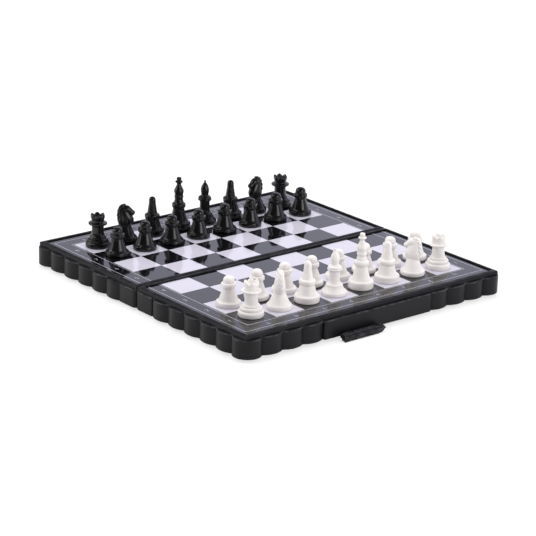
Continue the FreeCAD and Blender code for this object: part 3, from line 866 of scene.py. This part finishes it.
def horse_head():
    """Neck, head, mane and ears as tubes; the mouth is a groove pressed into both sides of the muzzle."""
    head = limb(HEAD, *HEAD_GRID)
    x, _, z = head.points.T
    line = MOUTH_START[1] + MOUTH_SLOPE * (MOUTH_START[0] - x)
    mouth = np.exp(-((z - line) / MOUTH_HALF_W) ** 2) * np.clip(x - MOUTH_END, 0, 1)
    head.points[:, 1] *= 1 - MOUTH_DEPTH * mouth
    form = limb(NECK, *NECK_GRID).join(head).join(limb(MANE, *MANE_GRID, relief=mane_locks))
    for side in (-1, 1):
        form.join(limb(HORSE_EAR, *HORSE_EAR_GRID, side * HORSE_EAR_SIDE))
        for place, radius in ((EYE, EYE_R), (NOSTRIL, NOSTRIL_R)):
            centre = np.array(place) * (1, side, 1)
            form.join(rounded_block(centre - radius, centre + radius, radius))
    return form


def man_forms():
    """One form for each kind of man, standing at the origin."""
    knight = turned(KNIGHT_FOOT).join(horse_head())
    return {"pawn": turned(PAWN), "bishop": turned(BISHOP), "queen": turned(QUEEN), "king": turned(KING),
            "rook": rook(), "knight": knight}


# Shader groups and materials

def add(tree, kind, **settings):
    """New node with its settings."""
    node = tree.nodes.new(kind)
    for key, value in settings.items():
        setattr(node, key, value)
    return node


def feed(tree, target, value):
    """Sets a socket to a value, or links it from another socket."""
    if isinstance(value, bpy.types.NodeSocket):
        tree.links.new(value, target)
    else:
        target.default_value = value


def sums(tree, operation, first, second=0.0, clamp=False):
    """One Math node on two sockets or values."""
    node = add(tree, "ShaderNodeMath", operation=operation, use_clamp=clamp)
    feed(tree, node.inputs[0], first)
    feed(tree, node.inputs[1], second)
    return node.outputs[0]


def between(tree, value, low, high):
    """Smooth step from 0 at low to 1 at high."""
    node = add(tree, "ShaderNodeMapRange", interpolation_type="SMOOTHSTEP")
    feed(tree, node.inputs["Value"], value)
    node.inputs["From Min"].default_value = low
    node.inputs["From Max"].default_value = high
    return node.outputs["Result"]


def blend(tree, mask, first, second):
    """Colour that goes from the first to the second as the mask goes from 0 to 1."""
    node = add(tree, "ShaderNodeMix", data_type="RGBA")
    feed(tree, node.inputs["Factor"], mask)
    feed(tree, node.inputs["A"], first)
    feed(tree, node.inputs["B"], second)
    return node.outputs["Result"]


def group(name, inputs, outputs):
    """New shader group with named inputs and outputs."""
    tree = bpy.data.node_groups.new(name, "ShaderNodeTree")
    for way, labels in (("INPUT", inputs), ("OUTPUT", outputs)):
        for label in labels:
            tree.interface.new_socket(label, in_out=way, socket_type="NodeSocketFloat")
    return tree, add(tree, "NodeGroupInput"), add(tree, "NodeGroupOutput")


def noise(tree, scale, detail):
    """Noise at the piece's own coordinates."""
    node = add(tree, "ShaderNodeTexNoise")
    tree.links.new(add(tree, "ShaderNodeTexCoord").outputs["Object"], node.inputs["Vector"])
    tree.links.new(scale, node.inputs["Scale"])
    node.inputs["Detail"].default_value = detail
    return node.outputs["Fac"]


def moulding_grain():
    """Spark-eroded mould grain: fine noise as height, and a broad slow noise as mottle."""
    tree, given, out = group("moulding grain", ("Fine", "Broad"), ("Height", "Mottle"))
    tree.links.new(noise(tree, given.outputs["Fine"], FINE_DETAIL), out.inputs["Height"])
    tree.links.new(noise(tree, given.outputs["Broad"], BROAD_DETAIL), out.inputs["Mottle"])
    return tree


def edge_wear():
    """Handled corners, and on the case a painted highlight: the piece's own edge mask, broken up by noise
    outside; painted shade, whole, in the grooves.
    """
    tree, given, out = group("edge wear", ("Break", "Amount"), ("Edge Tone", "Groove Shade"))
    mask = add(tree, "ShaderNodeAttribute", attribute_name="edge").outputs["Fac"]
    patches = between(tree, noise(tree, given.outputs["Break"], WEAR_DETAIL), *WEAR_PATCHES)
    edge_tone = sums(tree, "MULTIPLY", sums(tree, "MULTIPLY", mask, patches), given.outputs["Amount"], True)
    tree.links.new(edge_tone, out.inputs["Edge Tone"])
    # Inner corners give painted shade in the grooves
    tree.links.new(sums(tree, "MULTIPLY", mask, -1.0, True), out.inputs["Groove Shade"])
    return tree


def light_dust():
    """Faint dust: patches of noise, only on faces that look up."""
    tree, given, out = group("light dust", ("Scale", "Amount"), ("Dust",))
    facing = add(tree, "ShaderNodeSeparateXYZ")
    tree.links.new(add(tree, "ShaderNodeNewGeometry").outputs["Normal"], facing.inputs[0])
    up = between(tree, facing.outputs["Z"], *DUST_FACING)
    patches = between(tree, noise(tree, given.outputs["Scale"], DUST_DETAIL), *DUST_PATCHES)
    dust = sums(tree, "MULTIPLY", sums(tree, "MULTIPLY", up, patches), given.outputs["Amount"], True)
    tree.links.new(dust, out.inputs["Dust"])
    return tree


GRAIN = moulding_grain()
EDGE_TONE_AND_SHADE = edge_wear()
DUST = light_dust()


def use(tree, shared, **values):
    """Places a shared group with this material's own values."""
    node = add(tree, "ShaderNodeGroup", node_tree=shared)
    for label, value in values.items():
        node.inputs[label].default_value = value
    return node


def new_material(name):
    """Material with its tree and its shader."""
    material = bpy.data.materials.new(name)
    material.use_nodes = True
    tree = material.node_tree
    return material, tree, tree.nodes["Principled BSDF"]


def roughen(tree, shader, grain, low, high):
    """Roughness that goes from low to high with the grain's mottle."""
    spread = add(tree, "ShaderNodeMapRange")
    tree.links.new(grain.outputs["Mottle"], spread.inputs["Value"])
    spread.inputs["To Min"].default_value = low
    spread.inputs["To Max"].default_value = high
    tree.links.new(spread.outputs["Result"], shader.inputs["Roughness"])


def bumped(tree, shader, grain, depth, strength):
    """Normal raised by the grain's height, to a depth in millimetres."""
    bump = add(tree, "ShaderNodeBump")
    bump.inputs["Strength"].default_value = strength
    bump.inputs["Distance"].default_value = depth * MM
    tree.links.new(grain.outputs["Height"], bump.inputs["Height"])
    tree.links.new(bump.outputs["Normal"], shader.inputs["Normal"])


def case_plastic():
    """Charcoal moulded case: fine grain, mottled sheen, edges lightened by rubbing and by a painted
    highlight, and a trace of dust.
    """
    material, tree, shader = new_material("case_plastic")
    grain = use(tree, GRAIN, Fine=5200.0, Broad=90.0)
    wear_and_painted_light = use(tree, EDGE_TONE_AND_SHADE, Break=420.0, Amount=0.8)
    dust = use(tree, DUST, Scale=260.0, Amount=0.25)
    # Edges lightened by rubbing and by a painted highlight
    colour = blend(tree, wear_and_painted_light.outputs["Edge Tone"], CASE_COLOUR, CASE_WORN_AND_HIGHLIGHT)
    colour = blend(tree, dust.outputs["Dust"], colour, DUST_COLOUR)
    tree.links.new(colour, shader.inputs["Base Color"])
    roughen(tree, shader, grain, *CASE_ROUGHNESS)
    bumped(tree, shader, grain, *CASE_BUMP)
    shader.inputs["Specular IOR Level"].default_value = CASE_SPECULAR
    return material


def board_print():
    """Glossy printed sheet: chequer from the rounded-down column and row, and two ruled frames.

    A square is light where column + row from the hinge (+1 on the near half) is odd; a frame line is where
    max(|x| - half width, |y| - half depth) is within half a line of zero. A slow noise waves the gloss.
    """
    material, tree, shader = new_material("board_print")
    place = add(tree, "ShaderNodeSeparateXYZ")
    tree.links.new(add(tree, "ShaderNodeTexCoord").outputs["Object"], place.inputs[0])
    x = sums(tree, "DIVIDE", place.outputs["X"], MM)
    y = sums(tree, "DIVIDE", place.outputs["Y"], MM)
    across = sums(tree, "ABSOLUTE", x)
    along = sums(tree, "ABSOLUTE", y)
    column = sums(tree, "FLOOR", sums(tree, "DIVIDE", sums(tree, "ADD", x, GRID_X), SQUARE))
    row = sums(tree, "FLOOR", sums(tree, "DIVIDE", sums(tree, "SUBTRACT", along, HINGE_MARGIN), SQUARE))
    near_half = sums(tree, "LESS_THAN", y, 0.0)
    count = sums(tree, "ADD", sums(tree, "ADD", column, row), near_half)
    odd = sums(tree, "FLOORED_MODULO", count, 2.0)
    odd = sums(tree, "GREATER_THAN", odd, 0.5)

    def past_grid(gap):
        """How far a point lies outside the grid grown by a gap; negative inside."""
        return sums(tree, "MAXIMUM", sums(tree, "SUBTRACT", across, GRID_X + gap),
                    sums(tree, "SUBTRACT", along, GRID_Y + gap))

    light = sums(tree, "MULTIPLY", odd, sums(tree, "LESS_THAN", past_grid(0.0), 0.0))
    lines = [sums(tree, "LESS_THAN", sums(tree, "ABSOLUTE", past_grid(gap)), LINE_WIDTH / 2)
             for gap in (INNER_LINE, OUTER_LINE)]
    ruled = sums(tree, "MAXIMUM", *lines)
    grain = use(tree, GRAIN, Fine=130.0, Broad=2600.0)
    colour = blend(tree, light, PRINT_DARK, PRINT_LIGHT)
    colour = blend(tree, ruled, colour, PRINT_LINE)
    tree.links.new(colour, shader.inputs["Base Color"])
    roughen(tree, shader, grain, *PRINT_ROUGHNESS)
    bumped(tree, shader, grain, *PRINT_BUMP)
    return material


def men_plastic(name, colour, edge_tone, groove, roughness):
    """Moulded men: slightly uneven colour, soft grain, handled corners and painted shade in the grooves."""
    material, tree, shader = new_material(name)
    grain = use(tree, GRAIN, Fine=2400.0, Broad=320.0)
    wear_and_painted_light = use(tree, EDGE_TONE_AND_SHADE, Break=700.0, Amount=0.5)
    uneven = tuple(MEN_UNEVEN * level for level in colour[:3]) + (1,)
    tone = blend(tree, between(tree, grain.outputs["Mottle"], *MEN_MOTTLE), colour, uneven)
    tone = blend(tree, wear_and_painted_light.outputs["Edge Tone"], tone, edge_tone)
    # Painted shade darkens the grooves
    tree.links.new(blend(tree, wear_and_painted_light.outputs["Groove Shade"], tone, groove), shader.inputs["Base Color"])
    roughen(tree, shader, grain, roughness - MEN_ROUGHNESS_SPREAD, roughness + MEN_ROUGHNESS_SPREAD)
    bumped(tree, shader, grain, *MEN_BUMP)
    return material


def pin_steel():
    """Drawn wire: metal whose tone and sheen go with the mottle."""
    material, tree, shader = new_material("pin_steel")
    grain = use(tree, GRAIN, Fine=4000.0, Broad=900.0)
    tone = blend(tree, grain.outputs["Mottle"], STEEL, STEEL_DARK)
    tree.links.new(tone, shader.inputs["Base Color"])
    shader.inputs["Metallic"].default_value = 1.0
    roughen(tree, shader, grain, *STEEL_ROUGHNESS)
    bumped(tree, shader, grain, *STEEL_BUMP)
    return material


def figure_print():
    """Pale print of the coordinates, slightly uneven."""
    material, tree, shader = new_material("figure_print")
    grain = use(tree, GRAIN, Fine=2000.0, Broad=1500.0)
    tone = blend(tree, grain.outputs["Mottle"], PRINT_LINE, FIGURE_DARK)
    tree.links.new(tone, shader.inputs["Base Color"])
    roughen(tree, shader, grain, *FIGURE_ROUGHNESS)
    return material


# Assembly

def dress(piece, body, slot, *nodes):
    """Puts a piece on its body, in place of the nodes named. The slot is not used."""
    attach(piece, body)
    if nodes:
        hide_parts(*nodes)


def build_case(plastic, steel):
    """Both trays with their knuckles, the latch, and the pins of the frame in steel."""
    rear = tray("front", True).join(toes(REAR_TOE_X)).join(knuckles("rear"))
    dress(rear.piece("rear_tray", plastic), "rear_half", "case_plastic", "rear_shell")
    front = tray("rear", False).join(toes(FRONT_TOE_X)).moved(MIRROR_Y, (0, 0, 0))
    front.join(knuckles("front")).join(latch_ears())
    dress(front.piece("front_tray", plastic), "front_half", "case_plastic", "front_shell")
    dress(latch().piece("thumb_latch", plastic), "latch", "case_plastic", "latch")
    for name in ("hinge_pin_left", "hinge_pin_centre", "hinge_pin_right", "latch_pin"):
        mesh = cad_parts[name].data
        mesh.materials.clear()
        mesh.materials.append(steel)


def build_sheets(printed, figures):
    """Playing sheets, each with the printed signs that lie on it."""
    for half in ("front", "rear"):
        low, high = (np.array(corner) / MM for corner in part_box(f"{half}_sheet"))
        sheet = rounded_block(low, high, SHEET_ROUND).piece(f"{half}_playing_sheet", printed)
        dress(sheet, f"{half}_half", "printed_steel", f"{half}_sheet")
        for place in coordinates(half):
            mark = figure(*place)
            mark.data.materials.append(figures)
            dress(mark, f"{half}_half", "printed_steel")


def coordinates(half):
    """Generic rank numbers beside the rows and file letters outside the grid, between the ruled frames."""
    side = -1 if half == "front" else 1
    gap = (INNER_LINE + OUTER_LINE) / 2
    places = []
    for i, letter in enumerate(COLUMNS):
        places.append((letter, (i + 0.5) * SQUARE - GRID_X, side * (GRID_Y + gap)))
    for i in range(HALF_ROWS):
        y = side * (HINGE_MARGIN + (i + 0.5) * SQUARE)
        number = str(HALF_ROWS + 1 + i if side > 0 else HALF_ROWS - i)
        places.append((number, -GRID_X - gap, y))
        places.append((number, GRID_X + gap, y))
    return places


def figure(label, x, y):
    """Printed sign lying on the sheet, as a flat mesh."""
    curve = bpy.data.curves.new("sign", "FONT")
    curve.body = label
    curve.size = FIGURE_HEIGHT * MM * FONT_OVER_HEIGHT
    curve.align_x = "CENTER"
    curve.align_y = "CENTER"
    curve.resolution_u = FIGURE_STEPS
    source = bpy.data.objects.new("sign", curve)
    mesh = bpy.data.meshes.new_from_object(source)
    bpy.data.objects.remove(source)
    bpy.data.curves.remove(curve)
    mesh.transform(Matrix.Translation((x * MM, y * MM, (SHEET_Z + FIGURE_LIFT) * MM)))
    side = "front" if y < 0 else "rear"
    edge = "left" if x < -GRID_X else "right" if x > GRID_X else "outer"
    return placed(f"sign_{side}_{edge}_{label}", mesh)


# Degrees from +X
KNIGHT_HEADING = {
    "white_knight_b1": 55,
    "white_knight_g1": 120,
    "black_knight_b8": -38,
    "black_knight_g8": 183,
}


def build_men(white, black):
    """A man in place of each node that is one, at the middle of its foot."""
    forms = man_forms()
    for node in sorted(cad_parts):
        colour, _, rest = node.partition("_")
        kind = rest.partition("_")[0]
        if kind not in forms:
            continue
        low, high = (np.array(corner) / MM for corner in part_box(node))
        middle = ((low[0] + high[0]) / 2, (low[1] + high[1]) / 2, low[2])
        form = forms[kind].moved(turn(KNIGHT_HEADING.get(node, 0)), middle)
        piece = form.piece(node.replace(colour, colour + "_man", 1), white if colour == "white" else black)
        dress(piece, node, f"{colour}_men", node)


# Studio

def level_axis(heading):
    """Level direction at a heading in degrees from +X."""
    return (math.cos(math.radians(heading)), math.sin(math.radians(heading)), 0.0)


def share_towards(tree, direction, axis, low, high):
    """Smooth step of the dot product of a ray's direction with an axis."""
    along = add(tree, "ShaderNodeVectorMath", operation="DOT_PRODUCT")
    tree.links.new(direction, along.inputs[0])
    along.inputs[1].default_value = axis
    return between(tree, along.outputs["Value"], low, high)


def build_world():
    """White for the camera, and even light all round that dims towards the front left corner.

    Gloss shows a dim room, a cool sweep behind the board and, below the floor, a pale table.
    """
    world = bpy.data.worlds.new("studio")
    bpy.context.scene.world = world
    world.use_nodes = True
    tree = world.node_tree
    tree.nodes.clear()
    path = add(tree, "ShaderNodeLightPath")
    direction = add(tree, "ShaderNodeTexCoord").outputs["Generated"]
    sweep = share_towards(tree, direction, level_axis(SWEEP_HEADING), *SWEEP_RANGE)
    below = share_towards(tree, direction, (0.0, 0.0, -1.0), *TABLE_RANGE)
    room = blend(tree, below, blend(tree, sweep, ROOM_GLOSS, SWEEP_GLOSS), TABLE_GLOSS)
    dim = share_towards(tree, direction, level_axis(DIM_HEADING), *DIM_RANGE)
    seen = blend(tree, path.outputs["Is Glossy Ray"], blend(tree, dim, ROOM_LIGHT, ROOM_DIM), room)
    clear = sums(tree, "MAXIMUM", path.outputs["Is Camera Ray"], path.outputs["Is Transmission Ray"])
    background = add(tree, "ShaderNodeBackground")
    tree.links.new(blend(tree, clear, seen, WHITE), background.inputs["Color"])
    out = add(tree, "ShaderNodeOutputWorld")
    tree.links.new(background.outputs[0], out.inputs["Surface"])


def softbox(name, place, size, power, mirrored):
    """Rectangular lamp that faces the middle of the board; mirrored tells whether gloss shows it."""
    light = bpy.data.lights.new(name, "AREA")
    light.shape = "RECTANGLE"
    light.size, light.size_y = size
    light.energy = power
    lamp = placed(name, light)
    lamp.location = place
    lamp.visible_glossy = mirrored
    lamp.rotation_euler = Vector(place).to_track_quat("Z", "Y").to_euler()


def floor_paper():
    """Plain paper, partly see-through for the camera and clear from below.

    The patch hidden under the board lights the underside as bright paper would.
    """
    material, tree, shader = new_material("floor_paper")
    material.cycles.emission_sampling = "NONE"
    grain = use(tree, GRAIN, Fine=900.0, Broad=6.0)
    tree.links.new(blend(tree, grain.outputs["Mottle"], FLOOR, FLOOR_SHADE), shader.inputs["Base Color"])
    shader.inputs["Roughness"].default_value = FLOOR_ROUGHNESS
    shader.inputs["Specular IOR Level"].default_value = FLOOR_SPECULAR
    shader.inputs["Emission Color"].default_value = WHITE
    camera = add(tree, "ShaderNodeLightPath").outputs["Is Camera Ray"]
    place = add(tree, "ShaderNodeSeparateXYZ")
    tree.links.new(add(tree, "ShaderNodeTexCoord").outputs["Object"], place.inputs[0])
    across = sums(tree, "ABSOLUTE", place.outputs["X"])
    along = sums(tree, "ABSOLUTE", place.outputs["Y"])
    under = sums(tree, "LESS_THAN", sums(tree, "MAXIMUM", across, along), UNDER_HALF)
    under_light = sums(tree, "MULTIPLY", under, UNDER_GLOW)
    under_light = sums(tree, "MULTIPLY", under_light, sums(tree, "SUBTRACT", 1.0, camera))
    glow = sums(tree, "ADD", under_light, sums(tree, "MULTIPLY", camera, FLOOR_GLOW))
    tree.links.new(glow, shader.inputs["Emission Strength"])
    from_below = add(tree, "ShaderNodeNewGeometry").outputs["Backfacing"]
    see_through = sums(tree, "MAXIMUM", sums(tree, "MULTIPLY", camera, FLOOR_CLEAR), from_below)
    clear = add(tree, "ShaderNodeBsdfTransparent")
    pane = add(tree, "ShaderNodeMixShader")
    tree.links.new(see_through, pane.inputs["Fac"])
    tree.links.new(shader.outputs["BSDF"], pane.inputs[1])
    tree.links.new(clear.outputs["BSDF"], pane.inputs[2])
    tree.links.new(pane.outputs["Shader"], tree.nodes["Material Output"].inputs["Surface"])
    return material


def build_floor(paper):
    """Square of paper that the board stands on."""
    mesh = bpy.data.meshes.new("floor")
    corners = np.array([(-1, -1, 0), (1, -1, 0), (1, 1, 0), (-1, 1, 0)]) * FLOOR_HALF
    mesh.from_pydata(corners.tolist(), [], [(0, 1, 2, 3)])
    mesh.materials.append(paper)
    floor = placed("floor", mesh)


def build_camera():
    """Camera fitted to the corners of the squares in the photograph."""
    camera = bpy.data.cameras.new("photograph")
    camera.lens = CAMERA_LENS
    camera.sensor_width = SENSOR_WIDTH
    camera.clip_start = CAMERA_NEAR * MM
    eye = placed("photograph", camera)
    heading = Matrix.Rotation(math.radians(CAMERA_HEADING - 90), 4, "Z")
    pitch = Matrix.Rotation(math.radians(90 + CAMERA_PITCH), 4, "X")
    roll = Matrix.Rotation(math.radians(CAMERA_ROLL), 4, "Z")
    eye.matrix_world = Matrix.Translation(Vector(CAMERA_PLACE) * MM) @ heading @ pitch @ roll
    bpy.context.scene.camera = eye


def build_studio():
    """World, floor, camera and lamps."""
    build_world()
    build_floor(floor_paper())
    build_camera()
    for name, values in SOFTBOXES.items():
        softbox(name, *values)
    bpy.context.scene.view_settings.view_transform = "Standard"


build_case(case_plastic(), pin_steel())
build_sheets(board_print(), figure_print())
build_men(men_plastic("white_men", WHITE_MEN, WHITE_MEN_WORN, WHITE_MEN_GROOVE_SHADE, WHITE_MEN_ROUGHNESS),
          men_plastic("black_men", BLACK_MEN, BLACK_MEN_WORN, BLACK_MEN_GROOVE_SHADE, BLACK_MEN_ROUGHNESS))
build_studio()
